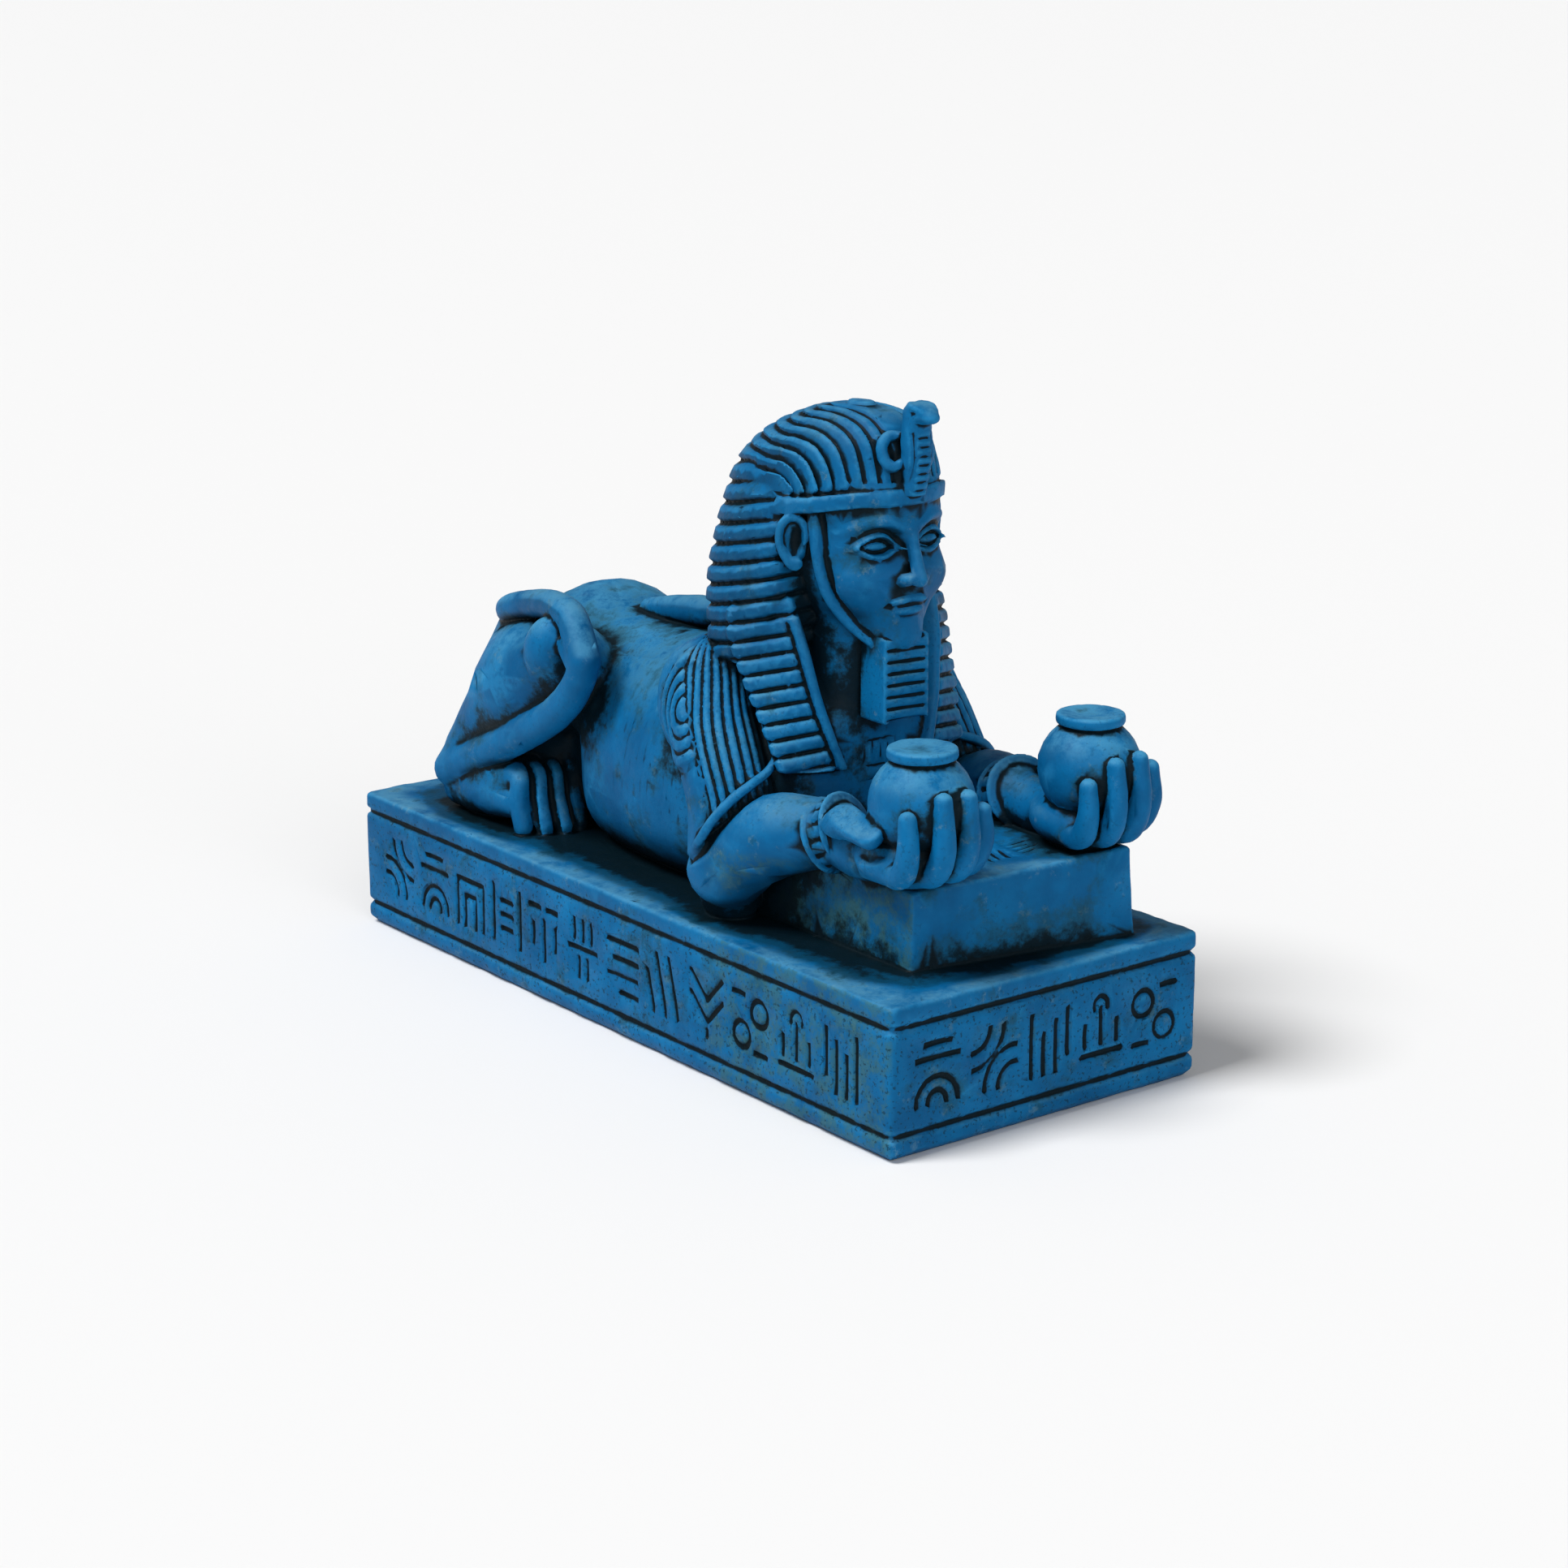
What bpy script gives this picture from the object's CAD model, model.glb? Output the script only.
import math

import bpy
import numpy as np
import openvdb
from mathutils import Matrix, Vector


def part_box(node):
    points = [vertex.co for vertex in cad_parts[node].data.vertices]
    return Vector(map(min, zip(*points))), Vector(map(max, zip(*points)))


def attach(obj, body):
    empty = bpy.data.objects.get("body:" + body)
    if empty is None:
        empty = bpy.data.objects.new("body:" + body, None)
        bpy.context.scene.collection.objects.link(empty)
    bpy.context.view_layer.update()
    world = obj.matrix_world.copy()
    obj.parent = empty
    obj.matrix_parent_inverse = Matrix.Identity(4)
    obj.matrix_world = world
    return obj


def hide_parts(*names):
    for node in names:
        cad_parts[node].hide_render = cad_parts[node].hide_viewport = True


# Sphinx statue: one blue casting, modelled as clay on a grid of distances in millimetres.
# The sphinx faces -Y, its right side is -X and the plinth's underside is z = 0.

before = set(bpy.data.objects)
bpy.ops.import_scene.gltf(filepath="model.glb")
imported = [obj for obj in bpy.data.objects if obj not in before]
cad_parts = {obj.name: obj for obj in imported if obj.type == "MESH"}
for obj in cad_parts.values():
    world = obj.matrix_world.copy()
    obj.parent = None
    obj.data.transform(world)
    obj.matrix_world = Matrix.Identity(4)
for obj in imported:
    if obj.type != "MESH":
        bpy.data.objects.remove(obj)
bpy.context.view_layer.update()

# Grid

STEP = 0.4
FAR = 6.0
HALF_X, HALF_Y, LOW_Z, HIGH_Z = 39.2, 91.6, -1.2, 130.4
count_x = 2 * math.ceil(HALF_X / STEP) + 1
count_y = 2 * math.ceil(HALF_Y / STEP) + 1
count_z = math.ceil((HIGH_Z - LOW_Z) / STEP) + 1
grid_x = ((np.arange(count_x) - (count_x - 1) / 2) * STEP).astype(np.float32)
grid_y = ((np.arange(count_y) - (count_y - 1) / 2) * STEP).astype(np.float32)
grid_z = (LOW_Z + np.arange(count_z) * STEP).astype(np.float32)
AXES = (grid_x, grid_y, grid_z)


def laid(values, n):
    """Values laid along axis n of the grid."""
    return values.reshape([-1 if m == n else 1 for m in range(3)])


def soft_min(a, b, k):
    """The smaller of two distances, blended where they are within k of each other."""
    if k <= 0:
        return np.minimum(a, b)
    h = np.maximum(k - np.abs(a - b), 0) / k
    return np.minimum(a, b) - h * h * (k / 4)


def soft_max(a, b, k):
    return -soft_min(-a, -b, k)


class Clay:
    """Distances to a surface on a box of the common grid, below zero inside."""

    def __init__(self, low, high):
        self.start = [max(int(np.searchsorted(axis, v)) - 1, 0) for axis, v in zip(AXES, low)]
        self.stop = [min(int(np.searchsorted(axis, v)) + 1, len(axis)) for axis, v in zip(AXES, high)]
        shape = [b - a for a, b in zip(self.start, self.stop)]
        self.d = np.full(shape, FAR, np.float32)

    def window(self, low=None, high=None):
        """Slices into this clay and the coordinates of the grid points there."""
        slices, places = [], []
        for n, axis in enumerate(AXES):
            first, last = self.start[n], self.stop[n]
            if low is not None:
                first = min(max(int(np.searchsorted(axis, low[n])) - 1, first), last)
                last = max(min(int(np.searchsorted(axis, high[n])) + 1, last), first)
            slices.append(slice(first - self.start[n], last - self.start[n]))
            places.append(laid(axis[first:last], n))
        return tuple(slices), places

    def add(self, form, low=None, high=None, k=0.0):
        where, (x, y, z) = self.window(low, high)
        self.d[where] = soft_min(self.d[where], form(x, y, z).astype(np.float32), k)

    def cut(self, form, low=None, high=None, k=0.0):
        where, (x, y, z) = self.window(low, high)
        self.d[where] = soft_max(self.d[where], -form(x, y, z).astype(np.float32), k)

    def keep(self, form, k=0.0):
        where, (x, y, z) = self.window()
        self.d[where] = soft_max(self.d[where], form(x, y, z).astype(np.float32), k)

    def raise_by(self, relief, low=None, high=None):
        """Moves the surface outwards by relief(x, y, z) millimetres."""
        where, (x, y, z) = self.window(low, high)
        self.d[where] -= relief(x, y, z).astype(np.float32)

    def overlap(self, start, stop):
        """Slices of this clay and of a grid box from start to stop where the two meet, or None."""
        mine, theirs = [], []
        for n in range(3):
            first, last = max(start[n], self.start[n]), min(stop[n], self.stop[n])
            if last <= first:
                return None
            mine.append(slice(first - self.start[n], last - self.start[n]))
            theirs.append(slice(first - start[n], last - start[n]))
        return tuple(mine), tuple(theirs)

    def join(self, other, k=0.0, mirrored=False):
        """Adds another clay, or its mirror image in x."""
        d, start, stop = other.d, list(other.start), list(other.stop)
        if mirrored:
            d = d[::-1]
            start[0], stop[0] = count_x - other.stop[0], count_x - other.start[0]
        both = self.overlap(start, stop)
        if both:
            self.d[both[0]] = soft_min(self.d[both[0]], d[both[1]], k)

    def join_both(self, other, k=0.0):
        """Adds another clay on both sides."""
        self.join(other, k, mirrored=True)
        self.join(other, k)

    def take(self, other, k=0.0):
        """Takes another clay away."""
        both = self.overlap(other.start, other.stop)
        if both:
            self.d[both[0]] = soft_max(self.d[both[0]], -other.d[both[1]], k)


# Curves and forms


def through(knots):
    """A smooth function through knots (place, value), level beyond both ends."""
    places = np.array([k[0] for k in knots], float)
    values = np.array([k[1] for k in knots], float)
    last = len(knots) - 1
    before = np.maximum(np.arange(last + 1) - 1, 0)
    after = np.minimum(np.arange(last + 1) + 1, last)
    slopes = (values[after] - values[before]) / (places[after] - places[before])

    def value(x):
        x = np.clip(np.asarray(x, float), places[0], places[-1])
        i = np.clip(np.searchsorted(places, x, side="right") - 1, 0, last - 1)
        span = places[i + 1] - places[i]
        t = (x - places[i]) / span
        bend = t * t * (3 - 2 * t)
        rise = t * (1 - t) ** 2 * span * slopes[i]
        fall = t * t * (t - 1) * span * slopes[i + 1]
        return values[i] * (1 - bend) + values[i + 1] * bend + rise + fall

    return value


def curve_points(knots, spacing=1.2):
    """Points evenly spaced along a centripetal Catmull-Rom curve through the knots."""
    p = np.array(knots, float)
    p = np.vstack([2 * p[0] - p[1], p, 2 * p[-1] - p[-2]])
    fine = []
    for i in range(1, len(p) - 2):
        p0, p1, p2, p3 = p[i - 1:i + 3]
        spans = ((p0, p1), (p1, p2), (p2, p3))
        d0, d1, d2 = (max(np.linalg.norm(b - a) ** 0.5, 1e-4) for a, b in spans)
        t1 = ((p1 - p0) / d0 - (p2 - p0) / (d0 + d1) + (p2 - p1) / d1) * d1
        t2 = ((p2 - p1) / d1 - (p3 - p1) / (d1 + d2) + (p3 - p2) / d2) * d1
        t = np.linspace(0, 1, 24, endpoint=False)[:, None]
        h = t * t * (3 - 2 * t)
        fine.append(p1 * (1 - h) + p2 * h + t1 * t * (1 - t) ** 2 + t2 * t * t * (t - 1))
    fine = np.vstack(fine + [p[-2][None]])
    run = np.concatenate([[0], np.cumsum(np.linalg.norm(np.diff(fine, axis=0), axis=1))])
    steps = max(int(math.ceil(run[-1] / spacing)), 1)
    marks = np.linspace(0, run[-1], steps + 1)
    return np.stack([np.interp(marks, run, fine[:, n]) for n in range(3)], 1), marks / run[-1]


def rod(a, b, ra, rb):
    """A round-ended rod from a to b whose radius goes from ra to rb."""
    a, b = np.asarray(a, float), np.asarray(b, float)
    way = b - a
    square = max(float(way @ way), 1e-9)

    def distance(x, y, z):
        t = np.clip(((x - a[0]) * way[0] + (y - a[1]) * way[1] + (z - a[2]) * way[2]) / square, 0, 1)
        return np.sqrt(
            (x - a[0] - t * way[0]) ** 2 + (y - a[1] - t * way[1]) ** 2 + (z - a[2] - t * way[2]) ** 2
        ) - (ra + t * (rb - ra))

    return distance


# Room kept round a form, over its blend
MARGIN = 1.4


def limb_clay(knots, radii, k=0.0, reach=MARGIN):
    """A limb along a curve through the knots, with its own radius at each."""
    points, t = curve_points(knots, max(0.8, 0.35 * min(radii)))
    widths = through([(i / (len(radii) - 1), r) for i, r in enumerate(radii)])(t)
    pad = k + reach
    clay = Clay((points - widths[:, None]).min(0) - pad, (points + widths[:, None]).max(0) + pad)
    for a, b, ra, rb in zip(points[:-1], points[1:], widths[:-1], widths[1:]):
        wide = max(ra, rb) + pad
        clay.add(rod(a, b, ra, rb), np.minimum(a, b) - wide, np.maximum(a, b) + wide)
    return clay


def add_limb(clay, knots, radii, k=0.0):
    clay.join(limb_clay(knots, radii, k), k)


def cut_limb(clay, knots, radii, k=0.0):
    clay.take(limb_clay(knots, radii, k), k)


def turned(centre, turn=(0, 0, 0)):
    """Coordinates about a centre, in axes turned by the Euler angles."""
    spin = np.array(Matrix.Rotation(turn[2], 3, "Z") @ Matrix.Rotation(turn[1], 3, "Y")
                    @ Matrix.Rotation(turn[0], 3, "X"))

    def local(x, y, z):
        px, py, pz = x - centre[0], y - centre[1], z - centre[2]
        return [px * spin[0, n] + py * spin[1, n] + pz * spin[2, n] for n in range(3)]

    return local


def ellipsoid(centre, radii, turn=(0, 0, 0)):
    local = turned(centre, turn)
    a, b, c = radii

    def distance(x, y, z):
        u, v, w = local(x, y, z)
        k0 = np.sqrt((u / a) ** 2 + (v / b) ** 2 + (w / c) ** 2)
        k1 = np.sqrt((u / a ** 2) ** 2 + (v / b ** 2) ** 2 + (w / c ** 2) ** 2) + 1e-6
        return k0 * (k0 - 1) / k1

    return distance


def ball_box(centre, radii, k):
    """Corners of a box round a ball, with room for its blend."""
    reach = max(radii) + k + MARGIN
    return [c - reach for c in centre], [c + reach for c in centre]


def add_ball(clay, centre, radii, turn=(0, 0, 0), k=0.0):
    clay.add(ellipsoid(centre, radii, turn), *ball_box(centre, radii, k), k)


def cut_ball(clay, centre, radii, turn=(0, 0, 0), k=0.0):
    clay.cut(ellipsoid(centre, radii, turn), *ball_box(centre, radii, k), k)


def slab(centre, half, turn=(0, 0, 0), rounding=0.3):
    local = turned(centre, turn)

    def distance(x, y, z):
        q = [np.abs(v) - (h - rounding) for v, h in zip(local(x, y, z), half)]
        outside = np.sqrt(sum(np.maximum(v, 0) ** 2 for v in q))
        return outside + np.minimum(np.maximum(np.maximum(q[0], q[1]), q[2]), 0) - rounding

    return distance


def rounded(u, v, radius):
    """Distance to a rounded rectangle, where u and v run past its sides less the radius."""
    outside = np.sqrt(np.maximum(u, 0) ** 2 + np.maximum(v, 0) ** 2)
    return outside + np.minimum(np.maximum(u, v), 0) - radius


def section(g):
    """First-order distance from a field g whose surface is g = 1."""
    gx, gy, gz = np.gradient(g, STEP)
    return (g - 1) / np.maximum(np.sqrt(gx * gx + gy * gy + gz * gz), 0.012)


def oval(u, v, a, b, power):
    return (np.abs(u / a) ** power + np.abs(v / b) ** power) ** (1 / power)


def smooth(low, high, x):
    t = np.clip((x - low) / (high - low), 0, 1)
    return t * t * (3 - 2 * t)


def bands(place, pitch, groove=0.16):
    """Rounded bands along a coordinate: 1 on a band and 0 at the bottom of a groove."""
    t = (place / pitch) % 1.0
    return smooth(0, groove, t) * smooth(0, groove, 1 - t)


def line_at(distance, width):
    """1 on a line and fading to 0 beside it."""
    return np.exp(-(distance / width) ** 2)


def blurred(field, radius):
    """Two passes of a box blur of the given radius in grid steps."""
    for _ in range(2):
        for axis in range(3):
            size = field.shape[axis]
            total = np.cumsum(field, axis=axis, dtype=np.float32)
            high = np.minimum(np.arange(size) + radius, size - 1)
            low = np.arange(size) - radius - 1
            upper = np.take(total, high, axis=axis)
            lower = np.take(total, np.maximum(low, 0), axis=axis)
            field = (upper - np.where(laid(low < 0, axis), 0, lower)) / (2 * radius + 1)
    return field


def soft_noise(seed, spacing):
    """Smooth noise over the whole grid, about -1 to 1, with features of the spacing in millimetres."""
    rng = np.random.default_rng(seed)
    sizes = [int(len(axis) * STEP / spacing) + 4 for axis in AXES]
    field = rng.standard_normal(sizes).astype(np.float32) * 0.5
    for n, axis in enumerate(AXES):
        place = np.arange(len(axis)) * STEP / spacing + 1
        first = np.floor(place).astype(int)
        t = place - first
        t = laid((t * t * (3 - 2 * t)).astype(np.float32), n)
        field = np.take(field, first, axis=n) * (1 - t) + np.take(field, first + 1, axis=n) * t
    return field


# Plinth and the block under the hands

PLINTH_LENGTH, PLINTH_WIDTH, PLINTH_TOP = 180.0, 75.2, 29.3
PLINTH_CORNER, PLINTH_CHAMFER, GROOVE_RADIUS = 1.6, 1.8, 0.8
UPPER_GROOVE, LOWER_GROOVE = PLINTH_TOP - 4.1, 4.8
PANEL_MIDDLE = (UPPER_GROOVE + LOWER_GROOVE) / 2
STROKE_DEPTH, STROKE_HALF_WIDTH = 0.85, 0.62


def plinth_form(x, y, z):
    side = rounded(np.abs(x) - (PLINTH_WIDTH / 2 - PLINTH_CORNER),
                   np.abs(y) - (PLINTH_LENGTH / 2 - PLINTH_CORNER), PLINTH_CORNER)
    d = np.maximum(side, -z)
    d = np.maximum(d, (side + (PLINTH_CHAMFER - z)) / math.sqrt(2))
    d = soft_max(d, z - PLINTH_TOP, 1.1)
    for level in (UPPER_GROOVE, LOWER_GROOVE):
        bite = np.sqrt((side + 0.05) ** 2 + (z - level) ** 2) - GROOVE_RADIUS
        d = soft_max(d, -bite, 0.3)
    return d


def arc(u, v, radius, start, end, count=10):
    """Points of an arc about (u, v), angles in degrees."""
    angles = np.radians(np.linspace(start, end, count))
    return [(u + radius * math.cos(t), v + radius * math.sin(t)) for t in angles]


# Plain stroke groups in a cell 14 wide and 13 high about its own middle: bars, ticks and arcs.
STROKES = [
    [[(-4, -6), (-4, 6)], [(-1, -6), (-1, 2)], [(2, -6), (2, 4)], [(5, -3), (5, 6)]],
    [[(-5, 5), (5, 5)], [(-5, 1.5), (3, 1.5)], [(-5, -2), (5, -2)], [(-5, -5.5), (1, -5.5)]],
    [arc(0, -5.5, 5, 0, 180), arc(0, -5.5, 2.2, 0, 180), [(-5, 3.2), (5, 3.2)], [(-3, 6), (3, 6)]],
    [[(-5, 6), (0, 1), (5, 6)], [(-5, 1.5), (0, -3.5), (5, 1.5)], [(0, -5), (0, -6.5)]],
    [[(-5, -6), (-5, 6)], [(5, -6), (5, 6)], [(-2, 3), (2, 3)], [(-2, 0), (2, 0)], [(-2, -3), (2, -3)]],
    [[(-5, -5), (5, -5)], [(-4, -3), (-4, 1)], [(0, -3), (0, 4)], [(4, -3), (4, 1)],
     arc(0, 4.6, 1.7, 200, -20)],
    [[(-5, 0), (5, 0)], [(-3, 2), (-3, 6)], [(0, 2), (0, 6)], [(3, 2), (3, 6)], [(-1.5, -2), (-1.5, -6)],
     [(1.5, -2), (1.5, -6)]],
    [arc(-5, 6, 4.2, -90, 0), arc(-5, 6, 7.6, -90, 0), arc(5.5, -6, 4.2, 90, 180),
     arc(5.5, -6, 7.6, 90, 180)],
    [[(-4.5, -6), (-1.5, 6)], [(-0.5, -6), (2.5, 6)], [(3.5, -6), (5.6, 2)]],
    [[(-5, -6), (-5, 4), (5, 4), (5, -6)], [(-2, -6), (-2, 0.6), (2, 0.6), (2, -6)]],
    [arc(-2.6, 2.6, 2.6, 0, 360, 16), arc(3, -2.8, 2.6, 0, 360, 16), [(-5, -5.6), (-1.5, -5.6)],
     [(2, 5.4), (5.5, 5.4)]],
    [[(-5, 5), (-1, 5)], [(1.4, 5), (5.4, 5)], [(0, 2.4), (0, -6)], [(-4, 1.4), (-4, -3)],
     [(4, 1.4), (4, -3)]],
]


def stroke_field(u, v, groups, scale):
    """Distance in the panel's plane from the middle lines of the strokes in groups (centre, lines)."""
    field = np.full(np.broadcast(u, v).shape, FAR, np.float32)
    for centre, lines in groups:
        for line in lines:
            for (a, b), (c, d) in zip(line[:-1], line[1:]):
                ax, ay = centre + a * scale, PANEL_MIDDLE + b * scale
                bx, by = centre + c * scale, PANEL_MIDDLE + d * scale
                wx, wy = bx - ax, by - ay
                t = np.clip(((u - ax) * wx + (v - ay) * wy) / (wx * wx + wy * wy + 1e-9), 0, 1)
                field = np.minimum(field, np.hypot(u - ax - t * wx, v - ay - t * wy))
    return field


def row_of_strokes(length, count, first):
    pitch = length / count
    picks = [STROKES[(first + i * 5) % len(STROKES)] for i in range(count)]
    return [((i + 0.5) * pitch - length / 2, pick) for i, pick in enumerate(picks)]


def carve_panel(clay, axis, sign, half, length, count, first):
    """Cuts one row of strokes into the plinth's face at sign * half on the axis."""
    along = 1 - axis
    low, high = [-FAR * 20] * 3, [FAR * 20] * 3
    low[2], high[2] = LOWER_GROOVE + 1, UPPER_GROOVE - 1
    low[along], high[along] = -length / 2 - 1, length / 2 + 1
    low[axis], high[axis] = sorted((sign * (half - 2.4), sign * (half + 1.6)))
    where, places = clay.window(low, high)
    u, v = places[along], places[2]
    groups = row_of_strokes(length, count, first)
    plane = np.expand_dims(stroke_field(u.reshape(-1, 1), v.reshape(1, -1), groups, 0.98), axis)
    depth = half - sign * places[axis]
    groove = soft_max(plane - STROKE_HALF_WIDTH, depth - STROKE_DEPTH, 0.5)
    clay.d[where] = soft_max(clay.d[where], -groove, 0.25)


BLOCK = dict(right=-22.0, left=26.2, right_front=-76.4, left_front=-84.4, back=-30.0, bottom=26.0,
             right_top=44.2, left_top=46.6)


def across_block(x, edge):
    """A measure of the block that goes evenly from its right side to its left one."""
    share = (x - BLOCK["right"]) / (BLOCK["left"] - BLOCK["right"])
    return BLOCK["right_" + edge] + share * (BLOCK["left_" + edge] - BLOCK["right_" + edge])


def block_form(x, y, z):
    height = (z - 29.0) / 16.0
    batter = 0.7 * np.clip(height, 0, 1)
    d = np.maximum(BLOCK["right"] + batter - x, x - BLOCK["left"] + batter)
    d = soft_max(d, across_block(x, "front") + batter - y, 0.9)
    d = np.maximum(d, y - BLOCK["back"])
    d = np.maximum(d, BLOCK["bottom"] - z)
    return soft_max(d, z - across_block(x, "top"), 0.9)


def carve_block_top(clay):
    """Shallow strokes on the block's top, between the hands."""
    where, (x, y, z) = clay.window((-12, -80, 40), (16, -56, 50))
    groups = [(-6, STROKES[5]), (3.5, STROKES[8]), (11, STROKES[1])]
    v = y.reshape(1, -1) + 69 + PANEL_MIDDLE
    plane = stroke_field(x.reshape(-1, 1), v, groups, 0.5)[:, :, None]
    groove = soft_max(plane - 0.5, across_block(x, "top") - z - 0.7, 0.3)
    clay.d[where] = soft_max(clay.d[where], -groove, 0.25)


# Body

TORSO_BASE, TORSO_FRONT, TORSO_BACK = 26.3, -40, 81.2
back_line = through([(-40, 70), (-30, 77), (-15, 78.5), (2, 76), (18, 74.4), (34, 74.6), (50, 78), (62, 73),
                     (73, 61), (81, 45)])
flank_line = through([(-40, 18), (-30, 22), (-15, 25), (0, 27), (15, 25.5), (28, 22.5), (34, 18.5), (41, 15),
                      (62, 14), (75, 12.5), (81, 7)])
# Half width of the back, which spreads out over the haunches
back_width = through([(15, 25), (30, 22.5), (48, 21), (64, 18.5), (75, 14), (81, 8)])


def torso_form(x, y, z):
    top = back_line(y)
    width = flank_line(y)
    width = width + np.maximum(back_width(y) - width, 0) * smooth(48, 58, z) * smooth(15, 26, y)
    middle = TORSO_BASE + (top - TORSO_BASE) * 0.42
    rise = np.where(z > middle, top - middle, middle - TORSO_BASE)
    power = np.where(z > middle, 2.2, 2.6)
    d = section(oval(x, z - middle, width, rise, power))
    d = soft_max(d, TORSO_FRONT - y, 3)
    return soft_max(d, y - TORSO_BACK, 3)


def torso_relief(x, y, z):
    """Faint upright ribs on the flank behind the arm and a shallow hollow along the spine."""
    here = smooth(-16, -10, y) * smooth(17, 8, y) * smooth(36, 44, z) * smooth(69, 60, z)
    ribs = 0.13 * np.cos(2 * np.pi * (y + 0.12 * (z - 50)) / 2.3) * here
    spine = -0.7 * np.exp(-(x / 3.4) ** 2) * smooth(60, 68, z) * smooth(58, 40, y)
    return ribs + spine


# The left haunch, without the tail over it, is lower
LEFT_DROP = 4.5
# Knuckle (x, y) and tip (x, y) of each toe
TOES = [(26.8, 45.4, 28.4, 40.8), (22.9, 44.8, 24.8, 38.2), (18.9, 44.6, 20.9, 36.8),
        (15.2, 44.8, 17.1, 37.2)]
KNUCKLE_MIDDLE = 40.6


def haunch(drop):
    """Haunch, shank and hind paw of the side x > 0."""
    clay = Clay((0, 10, 26), (37.4, 84, 84))
    add_limb(clay, [(21, 33, 66 - drop), (20.5, 46, 61 - drop), (20.5, 58.5, 50.5 - drop / 2), (25, 68, 40)],
             [8.5, 12, 9.6, 5.4])
    add_ball(clay, (14, 55, 64 - drop), (9, 13, 11), k=5)
    add_ball(clay, (13, 58, 44), (9, 15, 16), k=3)
    add_ball(clay, (28, 31.8, 70.8 - drop), (4.6, 5, 7.4), (0.5, 0, 0), k=1.6)
    clay.d = blurred(clay.d, round(0.8 / STEP))
    shank = limb_clay(
        [(27, 24, 72 - drop), (28.1, 19.2, 68.5 - drop), (28.2, 22.2, 63.4 - drop),
         (28.2, 28.6, 57.8 - drop / 2), (28.2, 40, 51.5), (28.2, 55, 44), (28, 68, 37.8)],
        [3, 3.3, 3.5, 3.7, 3.8, 4, 4.4], 1.2)
    clay.join(shank, 1.0)
    clay.join(hind_paw(), 0.5)
    return clay


def hind_paw():
    """Wedge of the paw with four toes running down to their tips."""
    paw = Clay((4, 28, 26), (37.4, 76, 50))
    add_limb(paw, [(26.5, 67, 34), (24, 57, 35.5), (21, 49, 37)], [4.4, 6.4, 6.4])
    add_limb(paw, [(25.6, 50, 37.6), (16, 49.5, 37.6)], [4.4, 4.0], k=2)
    add_limb(paw, [(27.6, 60, 34.5), (27.2, 52, 39.0), (26.8, 46.4, 40.6)], [4.0, 3.8, 2.8], k=1.5)
    add_limb(paw, [(27.0, 54, 34.5), (27.4, 45.4, 35.4)], [4.2, 3.6], k=1.5)
    for kx, ky, tx, ty in TOES:
        toe = limb_clay([(kx - 2.4, ky + 7, 37.5), (kx - 0.6, ky + 2, KNUCKLE_MIDDLE),
                         (kx + 0.4, ky - 1.4, 40.2), ((kx + tx) / 2 + 0.6, (ky + ty) / 2 - 0.2, 35.4),
                         (tx, ty + 0.6, PLINTH_TOP + 1.4)], [2.2, 2.25, 2.2, 2.15, 1.95], 0.3)
        paw.join(toe, 0.35)
    for (ka, la, ta, ua), (kb, lb, tb, ub) in zip(TOES[:-1], TOES[1:]):
        cut_limb(paw, [((ka + kb) / 2 - 1.4, (la + lb) / 2 + 3.6, 43.2),
                       ((ka + kb) / 2 + 0.2, (la + lb) / 2 - 2.2, 41.4),
                       ((ka + kb + ta + tb) / 4 + 0.5, (la + lb + ua + ub) / 4 - 1.6, 36),
                       ((ta + tb) / 2, (ua + ub) / 2 - 0.9, PLINTH_TOP)], [0.5, 0.75, 0.8, 0.9], k=0.3)
    return paw


TAIL = [(-3, 79.5, 44), (-8, 72.5, 59.5), (-14.5, 63.5, 70), (-20.5, 57, 73.2),
        (-22.5, 46, 76.4), (-25, 33, 78.6), (-26.5, 24.5, 77.4), (-28.1, 18.4, 70.5)]
TAIL_RADII = [3.6, 3.2, 3, 2.9, 2.9, 3, 3.2, 3.3]

# Arms of the side x > 0

ELBOW = (28.3, -30, 40.2)
WRIST = (22, -54.8, 51)
FLUTES = 27


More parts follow.
